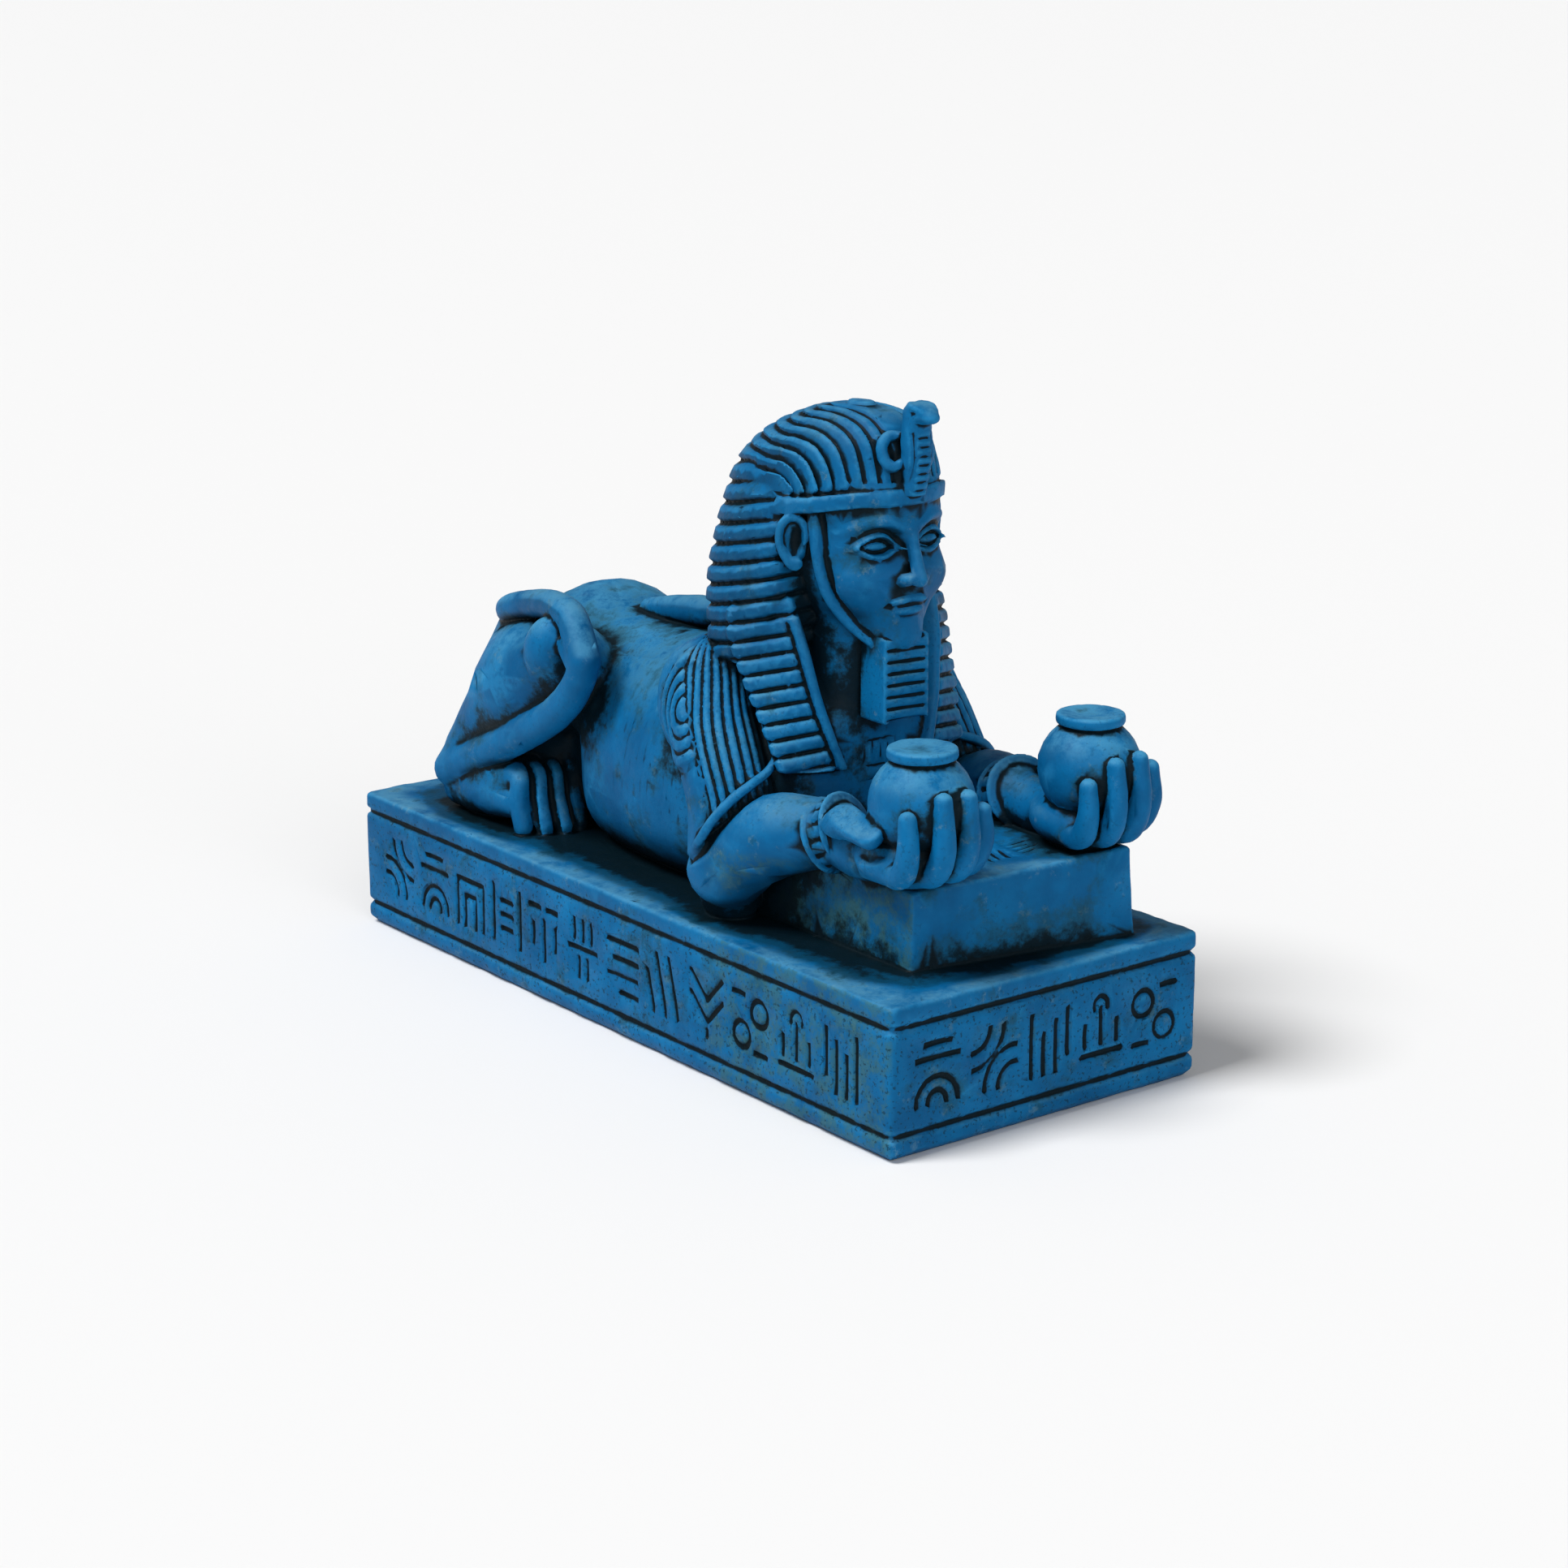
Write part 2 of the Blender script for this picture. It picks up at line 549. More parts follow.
def arm():
    """Arm with its sleeve, oval shoulder panel and hem, as far as the wrist."""
    clay, under, rim = (Clay((8, -62, 26), (39, 4, 86)) for _ in range(3))
    add_ball(clay, (21.5, -13.6, 67), (9.4, 9.6, 13), (-0.2, 0, 0))
    sleeve = limb_clay([(22.5, -17, 74), (24.6, -20, 66), (26.6, -28, 52), ELBOW],
                       [7.6, 8.3, 8.3, 8.0], 1.5, 2)
    clay.join(sleeve, 1.5)
    # Flutes down the front of the sleeve round its axis, and an oval panel with nested rings behind them
    axis_x = through([(40, 28.3), (52, 26.6), (66, 24.6), (76, 22.3)])
    axis_y = through([(40, -30), (52, -28), (66, -20), (76, -16.5)])

    def carved_sleeve(x, y, z):
        angle = np.degrees(np.arctan2(y - axis_y(z), x - axis_x(z)))
        edge = -22 + 10 * smooth(66, 80, z)
        front = smooth(edge + 3, edge - 3, angle) * smooth(-179, -170, angle)
        ridges = 0.85 * (bands(angle / 360 * FLUTES, 1.0, 0.32) - 0.75)
        border = -0.5 * line_at(angle - edge - 2, 3.0)
        lean = (y + 21.0) + 0.12 * (z - 69.5)
        rho = np.sqrt((lean / 9.6) ** 2 + ((z - 69.5) / 12.4) ** 2)
        rings = 0.8 * (bands(rho * 4.2, 1.0, 0.3) - 0.75) * smooth(1.0, 0.97, rho) * smooth(0.05, 0.2, rho)
        lip = 0.5 * smooth(1.0, 0.97, rho) - 0.35 * line_at(rho - 1.05, 0.03)
        behind = smooth(edge, edge + 5, angle) * smooth(120, 90, angle) * (z > 54)
        outside = smooth(19, 23, x)
        return front * ridges + border * (z > 40) * outside + behind * (rings + lip) * outside

    clay.raise_by(carved_sleeve)
    # Smooth forearm below the hem, with a groove round it inside the sleeve's rim
    _, (x, y, z) = clay.window()
    under.join(limb_clay([ELBOW, (26.6, -40.5, 47.6), WRIST], [7.9, 8.0, 5.9], 1.0, 2), 0)
    add_limb(under, [ELBOW, (26.9, -28.6, 50)], [7.9, 7.6], k=2)
    hem = [(34.0, -26.0, 42.6), (35.7, -30.6, 46.4), (34.4, -33.4, 51.0), (31.4, -35.2, 54.6),
           (27.4, -35.9, 57.0), (22.9, -35.2, 58.8), (20.6, -34.8, 61.5), (21.2, -35.2, 67)]
    rim.join(limb_clay(hem, [0.1] * len(hem), 0, 5), 0)
    under.d += 1.5 * line_at(rim.d - 1.9, 1.05)
    side = np.clip((z - 45.5) + 0.9 * (y + 29.0), -4, 4).astype(np.float32)
    clay.d[...] = np.minimum(soft_max(clay.d, -side, 0.2), under.d)
    # Foot under the elbow
    add_ball(clay, (26.2, -27.4, 33.4), (5.6, 6.6, 6.0), k=0.6)
    cut_limb(clay, [(27.7, -37, 55.1), (23.1, -36, 56.9), (20.8, -35.6, 59.6)], [1.2, 1.1, 0.9], k=0.3)
    add_limb(clay, hem, [0.7, 0.9, 0.95, 0.95, 0.95, 0.9, 0.8, 0.7], k=0.15)
    return clay


CUFF_DIRECTION = np.array(WRIST, float) - np.array(ELBOW, float)
CUFF_DIRECTION /= np.linalg.norm(CUFF_DIRECTION)
BRACELET_SLOTS = 13


def bracelet(clay):
    """Barrel between two raised rims, with cross slots."""
    way = CUFF_DIRECTION
    side = np.cross(way, (0, 0, 1))
    side /= np.linalg.norm(side)
    up = np.cross(side, way)

    def form(x, y, z):
        px, py, pz = x - WRIST[0], y - WRIST[1], z - WRIST[2]
        along = px * way[0] + py * way[1] + pz * way[2]
        u = px * side[0] + py * side[1] + pz * side[2]
        v = px * up[0] + py * up[1] + pz * up[2]
        r = np.sqrt(u * u + v * v)
        angle = np.arctan2(v, u)
        rims = np.exp(-((np.abs(along) - 2.25) / 0.5) ** 4)
        turn = (angle / (2 * np.pi) * BRACELET_SLOTS) % 1.0
        slots = np.exp(-((turn - 0.5) / 0.15) ** 4) * smooth(1.7, 1.4, np.abs(along))
        radius = 6.7 + 0.7 * rims - 0.85 * slots
        return soft_max(r - radius, np.abs(along) - 2.8, 0.3)

    reach = 10
    clay.add(form, [c - reach for c in WRIST], [c + reach for c in WRIST], 0.15)


FINGERS = [(29.3, -84, 61.2), (23.6, -87, 64.4), (17.8, -86.9, 64), (12.8, -85, 60.4)]
PALM_X = 21.0


def hand():
    clay = Clay((6, -90, 40), (36.5, -46, 70))
    add_limb(clay, [(22, -56, 50.6), (21.9, -64, 49.8), (PALM_X, -72, 50.8)], [5.3, 5.7, 5])
    add_ball(clay, (PALM_X, -74.5, 51.2), (9.8, 10.2, 5.8), k=2)
    for x, y, z in FINGERS:
        root = PALM_X + (x - PALM_X) * 0.78
        finger = limb_clay([(root, y + 9.5, 49.6), ((root + x) / 2, y + 2.6, 50.4), (x, y - 0.2, 55),
                            (x, y, z)], [2.3, 2.45, 2.15, 1.7], 0.6)
        clay.join(finger, 0.35)
    # Gaps between the fingers, on the outside of the hand
    for (xa, ya, za), (xb, yb, zb) in zip(FINGERS[:-1], FINGERS[1:]):
        x, y = (xa + xb) / 2, (ya + yb) / 2
        cut_limb(clay, [(x, y + 1.6, 47.0), (x, y - 0.6, 50.5), (x, y - 1.0, 55), (x, y - 0.2, 62)],
                 [0.45, 0.75, 0.85, 0.9], k=0.25)
    # Thumb, squared off by flats, with the cleft under it
    thumb = limb_clay([(25.2, -59.5, 53.4), (28.4, -65.5, 56.6), (30.2, -70.5, 57.3), (31.0, -75.6, 56.8)],
                      [3.7, 3.4, 3.0, 2.5], 0.8)
    thumb.keep(slab((29, -68, 56.2), (6.5, 12, 2.7), (0.1, 0.5, 0.15), 0.5), 0.8)
    cut_limb(clay, [(29.4, -63.0, 51.0), (31.2, -68.5, 52.0), (31.4, -74.0, 52.6), (30.6, -79, 54.2)],
             [0.9, 1.7, 1.9, 1.6], k=0.4)
    clay.join(thumb, 0.4)
    return clay


# Jar of the side x > 0: its middle, the radii of body, neck and lid, and the hollow in the lid
JAR = dict(x=20.3, y=-77.1, z=61.4, body=9.8, neck=5.2, lid=6.5, bottom=52.4, top=71.9, lid_half=1.05,
           lid_edge=0.6, dish=17.0, dish_up=16.3)


def jar_form(x, y, z):
    j = JAR
    r = np.sqrt((x - j["x"]) ** 2 + (y - j["y"]) ** 2)
    body = np.sqrt(r ** 2 + (z - j["z"]) ** 2) - j["body"]
    body = np.maximum(body, j["bottom"] - z)
    neck = np.maximum(r - j["neck"], np.maximum(j["z"] - z, z - (j["top"] - 1)))
    lid = rounded(r - (j["lid"] - j["lid_edge"]),
                  np.abs(z - (j["top"] - j["lid_half"])) - (j["lid_half"] - j["lid_edge"]), j["lid_edge"])
    d = soft_min(soft_min(body, neck, 0.3), lid, 0.1)
    dish = np.sqrt(r ** 2 + (z - j["top"] - j["dish_up"]) ** 2) - j["dish"]
    return soft_max(d, -dish, 0.4)


# Head

face_half = through([(80, 4.5), (84, 7.6), (89, 11.4), (96, 13.8), (104, 14.6), (113, 14.4)])
face_front = through([(80, -44.5), (84, -47.4), (89, -48.8), (96, -48.8), (104, -49), (113, -49)])
FACE_BACK, FACE_POWER = -28.0, 2.4


def face_y(x, z):
    """The face's surface at |x| and z."""
    reach = np.clip(1 - np.abs(x / face_half(z)) ** FACE_POWER, 0.02, 1)
    return FACE_BACK + (face_front(z) - FACE_BACK) * reach ** (1 / FACE_POWER)


def on_face(points, out=0.0, side=1):
    """Points (x, z) laid on the face, or out from it, on either side."""
    return [(side * x, float(face_y(x, z)) - out, z) for x, z in points]


def face():
    clay = Clay((-17, -56, 76), (17, -22, 115))

    def skull(x, y, z):
        g = oval(x, y - FACE_BACK, face_half(z), FACE_BACK - face_front(z), FACE_POWER)
        d = section(g + np.zeros_like(x + y + z))
        return soft_max(soft_max(d, 79.8 - z, 2.4), z - 113.5, 0.5)

    clay.add(skull)
    # Chin and cheeks
    add_ball(clay, (0, -45.4, 83.6), (4.6, 3.5, 3.4), k=2.5)
    for side in (-1, 1):
        add_ball(clay, (side * 7.6, -43.2, 94.6), (4.6, 3.9, 4.2), k=3)
        cut_ball(clay, (side * 6.5, -49.7, 101.3), (5.8, 3.8, 3.6), k=1.8)
    # Nose
    add_limb(clay, [(0, -48.2, 104.6), (0, -49.6, 101.6), (0, -50.9, 97.6), (0, -51.7, 95.3)],
             [1.5, 1.15, 1.3, 1.45], k=1.4)
    for side in (-1, 1):
        add_ball(clay, (side * 1.9, -49.6, 95.1), (1.35, 2.0, 1.15), (-0.25, 0, 0), k=1.2)
        cut_ball(clay, (side * 1.15, -50.9, 93.7), (0.6, 0.85, 0.5), k=0.3)

    def eyes(x, y, z):
        """Ball between two lids, with a crease above."""
        u = (np.abs(x) - 6.3) / 4.1
        arch = np.clip(1 - u * u, 0, 1)
        level = z - 101.2 - 0.15 * u
        upper, lower = level - 2.3 * arch, level + 1.7 * arch
        near = smooth(1.1, 0.98, np.abs(u)) * smooth(-42, -44, y)
        lids = 0.95 * line_at(upper, 0.45) + 0.8 * line_at(lower, 0.45)
        ball = 0.75 * np.sqrt(arch) * smooth(-0.7, -1.3, upper) * smooth(0.7, 1.3, lower)
        line = -0.5 * (line_at(upper + 0.95, 0.35) + line_at(lower - 0.95, 0.35))
        crease = -0.4 * line_at(upper - 1.3, 0.45) + line * smooth(0.1, 0.3, arch)
        return near * (lids + ball + crease)

    clay.raise_by(eyes, (-14, -54, 95), (14, -38, 108))
    # Line towards the temple, and brow
    for side in (-1, 1):
        temple = on_face([(10.2, 101.3), (11.2, 101.3), (12.2, 101.6)], -0.35, side)
        add_limb(clay, temple, [0.5, 0.5, 0.35], k=0.3)
        brow = on_face([(1.9, 104.9), (4.6, 106.2), (7.6, 106.4), (10.2, 105.4), (12.0, 104.0)], -0.2, side)
        add_limb(clay, brow, [0.7, 0.85, 0.85, 0.7, 0.4], k=0.9)
    # Mouth
    for side in (-1, 1):
        add_ball(clay, (side * 1.75, -48.45, 91.1), (2.7, 1.25, 0.8), (0, side * 0.14, 0), k=0.5)
        cut_ball(clay, (side * 4.7, float(face_y(4.7, 90)) - 0.2, 90.0), (0.8, 0.7, 0.5), k=0.8)
    add_ball(clay, (0, -48.5, 89.1), (3.3, 1.35, 0.95), k=0.5)
    cut_ball(clay, (0, -50.2, 86.9), (3.0, 1.2, 0.9), k=0.9)
    cut_limb(clay, on_face([(-4.6, 90.0), (-2, 90.15), (0, 89.95), (2, 90.15), (4.6, 90.0)], 0.75),
             [0.3, 0.42, 0.42, 0.42, 0.3], k=0.2)
    return clay


# Beard strap of the side x > 0
STRAP = [(13.9, -36.6, 108.5), (13.8, -37.6, 104), (13.5, -38.0, 99), (12.9, -38.6, 95),
         (11.6, -39.2, 91.4), (9.2, -40.4, 87.4), (6.8, -42.2, 84.2), (5.2, -44.0, 82.4)]


def beside_strap(gap):
    """Points along the strap, moved over the face's surface towards its middle."""
    points = []
    for n, (x, y, z) in enumerate(STRAP):
        before = np.array(STRAP[max(n - 1, 0)])
        after = np.array(STRAP[min(n + 1, len(STRAP) - 1)])
        slope_x = float(face_y(x - 0.2, z) - face_y(x - 0.6, z)) / 0.4
        slope_z = float(face_y(x - 0.4, z + 0.3) - face_y(x - 0.4, z - 0.3)) / 0.6
        inward = np.cross((slope_x, -1, slope_z), after - before)
        inward /= np.linalg.norm(inward)
        if inward[1] > 0:
            inward = -inward
        points.append(tuple(np.array((x, y, z)) + inward * gap))
    return points


def neck_form(x, y, z):
    half_x = through([(50, 18), (62, 15), (72, 10.4), (88, 9.8)])(z)
    half_y = through([(50, 12.4), (62, 11.6), (72, 9.6), (88, 9.6)])(z)
    middle = through([(50, -28), (62, -29), (72, -31), (88, -33)])(z)
    d = section(oval(x, y - middle, half_x, half_y, 2) + np.zeros_like(x + y + z))
    return np.maximum(d, np.maximum(50 - z, z - 90))


BEARD = dict(half=5.5, front=-48.2, back=-40.5, top=83.6, bottom=67.8, ridges=7)


def beard_form(x, y, z):
    b = BEARD
    pitch = (b["top"] - b["bottom"]) / b["ridges"]
    flare = 0.02 * (b["top"] - z)
    middle = (0, (b["front"] + b["back"]) / 2, (b["top"] + b["bottom"]) / 2)
    half = (b["half"] - 0.2, (b["back"] - b["front"]) / 2, 8.35)
    rows = bands(z - b["bottom"] + 0.04 * x, pitch, 0.26)
    front = smooth(-46.2, -47.2, y) * smooth(5.2, 4.4, np.abs(x))
    return slab(middle, half, rounding=0.5)(x, y, z) - flare * 0.3 + front * 0.95 * (1 - rows)


EAR_TURN = 0.6


def ear():
    """Ear of the side x > 0, in its own plane."""
    clay = Clay((10, -42, 94), (24, -28, 110))
    along = np.array((math.cos(EAR_TURN), math.sin(EAR_TURN), 0))
    out = np.array((math.sin(EAR_TURN), -math.cos(EAR_TURN), 0))
    centre = np.array((16.8, -35.0, 101.9))

    def spot(u, v, w=0.0):
        return tuple(centre + along * u + out * w + np.array((0, 0, v)))

    add_ball(clay, spot(0, 0, -1.6), (2.9, 1.9, 4.7), (0, 0, EAR_TURN))
    add_limb(clay, [spot(-1.7, -0.4, 0.1), spot(-2.3, 1.8, 0.1), spot(-1.2, 4.0, 0), spot(0.7, 4.6, 0),
                    spot(2.3, 3.2, 0), spot(2.8, 0.8, 0), spot(2.2, -1.8, 0), spot(0.9, -3.9, 0.1)],
             [0.6, 0.7, 0.8, 0.85, 0.85, 0.85, 0.85, 0.95], k=0.4)
    add_ball(clay, spot(-0.2, -4.3, 0), (1.5, 1.0, 1.3), (0, 0, EAR_TURN), k=0.6)
    cut_ball(clay, spot(-0.3, 0.2, 0.6), (1.5, 1.8, 3.1), (0, 0, EAR_TURN), k=0.3)
    cut_limb(clay, [spot(-0.9, 2.2, 0.6), spot(0.4, 3.1, 0.6), spot(1.5, 2.0, 0.6), spot(1.7, -0.6, 0.6)],
             [0.45, 0.5, 0.5, 0.4], k=0.3)
    return clay


# Headcloth

cloth_half_x = through([(78, 25), (84, 25.3), (93, 23.5), (100, 21.3), (106, 19.4),
                        (112, 16.9), (117, 15), (121, 12.2), (124.2, 8), (126, 2)])
cloth_half_y = through([(78, 14.5), (84, 16), (93, 18.4), (100, 20.2), (106, 21.4),
                        (112, 22.2), (117, 20), (121, 16.4), (124.2, 10.4), (126, 3)])
cloth_middle = through([(78, -24.5), (84, -23.7), (93, -22.8), (100, -23.6), (106, -25),
                        (112, -26.6), (117, -28.2), (121, -30.6), (126, -34)])
front_plane = through([(78, -30), (86, -32.5), (104, -33.5), (106.5, -36), (108.5, -50)])
CLOTH_POWER = 2.08
BAND_TOP, BAND_HALF, CROWN_TOP = 112.4, 1.5, 126
FOLD_PITCH, LAPPET_PITCH, LAPPET_TOP = 3.7, 3.3, 82


def band_middle(y):
    return 110.7 - 2.3 * smooth(-50, -32, y)


def fold_phase(x, y, z):
    """Counts the folds upwards; they climb a little towards the front and narrow on the lappets."""
    climb = z + 0.2 * (y + 24) + 0.06 * (np.abs(x) - 20)
    return (climb - LAPPET_TOP) / np.where(climb > LAPPET_TOP, FOLD_PITCH, LAPPET_PITCH)


def crown_run(width):
    """Length of the side outline above the band, against half width."""
    heights = np.linspace(BAND_TOP, CROWN_TOP, 60)
    widths = cloth_half_x(heights)
    run = np.concatenate([[0], np.cumsum(np.hypot(np.diff(heights), np.diff(widths)))])
    return np.interp(-np.abs(width), -widths, run)


def headcloth():
    clay = Clay((-28, -52, 76), (28, 2, 128))
    where, (x, y, z) = clay.window()
    half_x, half_y, middle = cloth_half_x(z), cloth_half_y(z), cloth_middle(z)
    d = section(oval(x, y - middle, half_x, half_y, CLOTH_POWER) + np.zeros_like(x + y + z))
    # Folds round the back and sides climb a little towards the front
    phase = fold_phase(x, y, z)
    folds = bands(phase, 1.0, 0.27)
    tilt = 0.25 * (0.5 - phase % 1.0)
    # Stripes on the crown run back from the band and turn into the folds at the sides
    share = smooth(-34, -20, y)
    width = np.abs(x) * (1 - share) + np.maximum(half_x, np.abs(x)) * share
    stripes = bands(crown_run(width) - 2.0, 2.5, 0.3)
    front = smooth(-16, -26, y)
    above = smooth(0.5, 2.5, z - band_middle(y)) * front + smooth(114.0, 116.0, z) * (1 - front)
    under_cobra = smooth(3.4, 2.8, np.abs(x)) * smooth(-40, -43, y)
    relief = (1 - above) * (1.05 * (folds - 1) + tilt + 0.2)
    relief = relief + above * 0.95 * (stripes - 1) * (1 - under_cobra)
    # Dark lines above and below the band
    for level in (1.9, -1.8):
        relief = relief - 0.7 * line_at(z - band_middle(y) - level, 0.45) * smooth(-28, -31, y)
    d = soft_max(d - 0.25, front_plane(z) - y, 2.6)
    d = d - relief
    d = soft_max(d, z - 126.7, 0.4)
    d = soft_max(d, 78.0 - z, 0.8)
    clay.d[where] = d.astype(np.float32)
    return clay


def band_form(x, y, z):
    """Flat band over the brow, lower at its ends over the ears."""
    half_x, half_y, middle = (float(line(111)) for line in (cloth_half_x, cloth_half_y, cloth_middle))
    g = oval(x, y - middle, half_x + 0.75, half_y + 1.2, CLOTH_POWER)
    d = soft_max((g - 1) * 18.0 + np.zeros_like(z), np.abs(z - band_middle(y)) - BAND_HALF, 0.4)
    return np.maximum(d, y + 30.5)


# Outer and inner edges of the lappet of the side x > 0
outer_x = through([(58, 22), (71, 24.4), (84, 26.2), (90, 24.6), (97, 22)])
outer_y = through([(58, -38.6), (71, -32.8), (84, -27), (90, -25), (97, -22)])
inner_x = through([(58, 9.8), (71, 14), (86, 16.6), (97, 17)])
inner_y = through([(58, -42.6), (71, -40), (82, -37.4), (90, -34), (97, -30)])
LAPPET_THICKNESS, LAPPET_ROUNDING = 5.0, 0.6


def lappet():
    """Ridged strip of the headcloth over the chest, side x > 0."""
    clay = Clay((5, -48, 54), (31, -18, 99))
    where, (x, y, z) = clay.window()
    ox, oy, ix, iy = outer_x(z), outer_y(z), inner_x(z), inner_y(z)
    length = np.hypot(ox - ix, oy - iy)
    ax, ay = (ox - ix) / length, (oy - iy) / length
    # Normal of the strip, pointing forwards
    nx, ny = ay, -ax
    mx, my = (ox + ix) / 2 - nx * LAPPET_THICKNESS / 2, (oy + iy) / 2 - ny * LAPPET_THICKNESS / 2
    u = (x - mx) * ax + (y - my) * ay
    w = (x - mx) * nx + (y - my) * ny
    strip_edge = -length / 2 + 1.9
    rows = bands(fold_phase(x, y, z), 1.0, 0.25)
    strip = smooth(88, 85, z)
    on_rows = np.maximum(smooth(strip_edge, strip_edge + 0.5, u), 1 - strip)
    seam = line_at(u - strip_edge, 0.5) * strip
    relief = on_rows * 1.05 * (rows - 1) - 1.1 * seam + 0.45
    d = rounded(np.abs(u) - (length / 2 - LAPPET_ROUNDING),
                np.abs(w) - (LAPPET_THICKNESS / 2 - LAPPET_ROUNDING), LAPPET_ROUNDING)
    d = d - relief * smooth(-1.5, 1.5, w)
    d = soft_max(d, 58.2 - z, 0.6)
    d = soft_max(d, z - 96, 0.5)
    clay.d[where] = d.astype(np.float32)
    return clay


def cobra():
    clay = Clay((-12, -57, 110), (12, -38, 129.6))

    def hood(x, y, z):
        half = through([(110, 2.3), (114, 2.5), (119, 3.1), (123, 2.9), (126, 2.4)])(z)
        deep = through([(110, 1.8), (117, 2.5), (122, 2.3), (126, 2.2)])(z)
        middle = through([(110, -49.2), (117, -50.4), (122, -50.2), (126, -50.2)])(z)
        d = section(oval(x, y - middle, half, deep, 2.8) + np.zeros_like(x + y + z))
        ladder = 0.6 * (bands(z - 113.6, 1.65, 0.34) - 1) * smooth(1.75, 1.35, np.abs(x))
        ladder = ladder * smooth(123.4, 122.8, z)
        groove = -0.6 * line_at(np.abs(x) - 2.1, 0.32) * smooth(123.8, 122.8, z)
        front = smooth(middle - 0.3, middle - 0.9, y)
        return np.maximum(d - (ladder + groove) * front, np.maximum(111 - z, z - 126.5))

    clay.add(hood)
    # Head, brow ridges and eyes
    add_ball(clay, (0, -51.0, 126.3), (2.75, 3.5, 2.1), (0.1, 0, 0), k=0.5)
    add_ball(clay, (0, -53.2, 126.2), (2.1, 2.6, 1.3), (0.3, 0, 0), k=0.8)
    for side in (-1, 1):
        add_limb(clay, [(side * 1.2, -49.6, 127.9), (side * 2.1, -51.6, 127.6), (side * 1.6, -53.6, 127.0)],
                 [0.6, 0.7, 0.5], k=0.3)
        cut_ball(clay, (side * 2.7, -52.0, 126.5), (0.6, 0.9, 0.6), k=0.2)
        # Loop of the body beside the hood, round a dark hollow
        cut_ball(clay, (side * 3.9, -47.6, 119.4), (1.5, 2.4, 1.9), k=0.3)
        add_limb(clay, [(side * 2.2, -47.4, 122.0), (side * 3.9, -46.7, 121.9), (side * 5.4, -46.6, 120.2),
                        (side * 5.3, -47.3, 117.6), (side * 3.9, -48.4, 116.3), (side * 3.0, -49.2, 117.2)],
                 [0.9, 1.1, 1.15, 1.15, 1.05, 0.8], k=0.1)
    return clay


def collar(clay):
    """Two rims and short upright strokes across the chest between the lappets."""

    def relief(x, y, z):
        here = smooth(-33, -35, y) * smooth(15, 13, np.abs(x)) * smooth(56.2, 57, z) * smooth(63.8, 63, z)
        strokes = -0.7 * (1 - bands(x, 1.9, 0.3)) * smooth(58.0, 58.3, z) * smooth(61.8, 61.5, z)
        return here * (strokes - 0.7 * line_at(z - 57.4, 0.4) - 0.7 * line_at(z - 62.4, 0.4))

    clay.raise_by(relief, (-16, -50, 54), (16, -30, 66))


# Tail of the headcloth down the back
QUEUE = [(0, -8, 79), (0, 6, 78), (0, 20, 76.6), (0, 35, 74.4)]
QUEUE_RADII = [4.4, 3.4, 3.2, 2.4]

# Assembly of the whole casting


def sculpt():
    whole = Clay((-HALF_X, -HALF_Y, LOW_Z), (HALF_X, HALF_Y, HIGH_Z))
    body = Clay((-39, -64, 24), (39, 86, 86))
    body.add(torso_form)
    body.raise_by(torso_relief, (-30, -20, 34), (30, 62, 80))
    body.join(haunch(0.0), 2.2, mirrored=True)
    body.join(haunch(LEFT_DROP), 2.2)
    body.join(limb_clay(TAIL, TAIL_RADII, 0.8), 0.5)
    queue = limb_clay(QUEUE, QUEUE_RADII, 0.8)
    queue.raise_by(lambda x, y, z: 0.6 * (bands(y, 2.6, 0.3) - 0.6) * smooth(12, 10, y) + 0 * x * z)
    body.join(queue, 0.5)

    limbs = arm()
    bracelet(limbs)
    body.join_both(limbs, 0.5)

    head = Clay((-30, -56, 48), (30, 4, HIGH_Z))
    head.add(neck_form, (-24, -50, 48), (24, -10, 92))
    head.join(face(), 0.6)
    for side in (-1, 1):
        cut_limb(head, [(side * x, y, z) for x, y, z in beside_strap(1.85)],
                 [0.8, 0.85, 0.85, 0.85, 0.85, 0.8, 0.7, 0.5], k=0.2)
    head.join(headcloth(), 0.0)
    head.add(band_form, (-22, -54, 106), (22, -30, 116), 0.1)
    collar(head)
    head.join_both(lappet(), 0.0)
    head.join_both(ear(), 0.25)
    head.join_both(limb_clay(STRAP, [1.2, 1.2, 1.2, 1.2, 1.2, 1.15, 1.05, 0.9], 0.2), 0.1)
    head.add(beard_form, (-8, -52, 64), (8, -36, 88), 0.1)
    head.join(cobra(), 0.15)

    whole.add(plinth_form)
    for sign in (-1, 1):
        carve_panel(whole, 0, sign, PLINTH_WIDTH / 2, 166, 12, 0 if sign < 0 else 4)
        carve_panel(whole, 1, sign, PLINTH_LENGTH / 2, 66, 5, 2 if sign < 0 else 7)
    whole.add(block_form, (-26, -88, 24), (30, -26, 50), 0.3)
    carve_block_top(whole)
    whole.join(body, 0.5)
    whole.join(head, 0.3)
    whole.join_both(hand(), 0.4)
    jar = Clay((8, -90, 48), (34, -64, 76))
    jar.add(jar_form)
    whole.join_both(jar, 0.15)
    return whole


# Faint unevenness of the cast surface: random seed, spacing and height
UNEVENNESS = ((11, 5.0, 0.10), (12, 1.9, 0.05))
# The casting stays this far inside its frame's box
INSET = 0.08

whole = sculpt()
for seed, spacing, height in UNEVENNESS:
    whole.d += height * soft_noise(seed, spacing)
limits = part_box("sphinx_statue")
for n in range(3):
    axis = laid(AXES[n], n)
    beyond = np.maximum(limits[0][n] * 1000 + INSET - axis, axis - limits[1][n] * 1000 + INSET)
    whole.d = np.maximum(whole.d, beyond)


# Mesh


ADAPTIVITY = 0.04
MOST_TRIANGLES = 190000


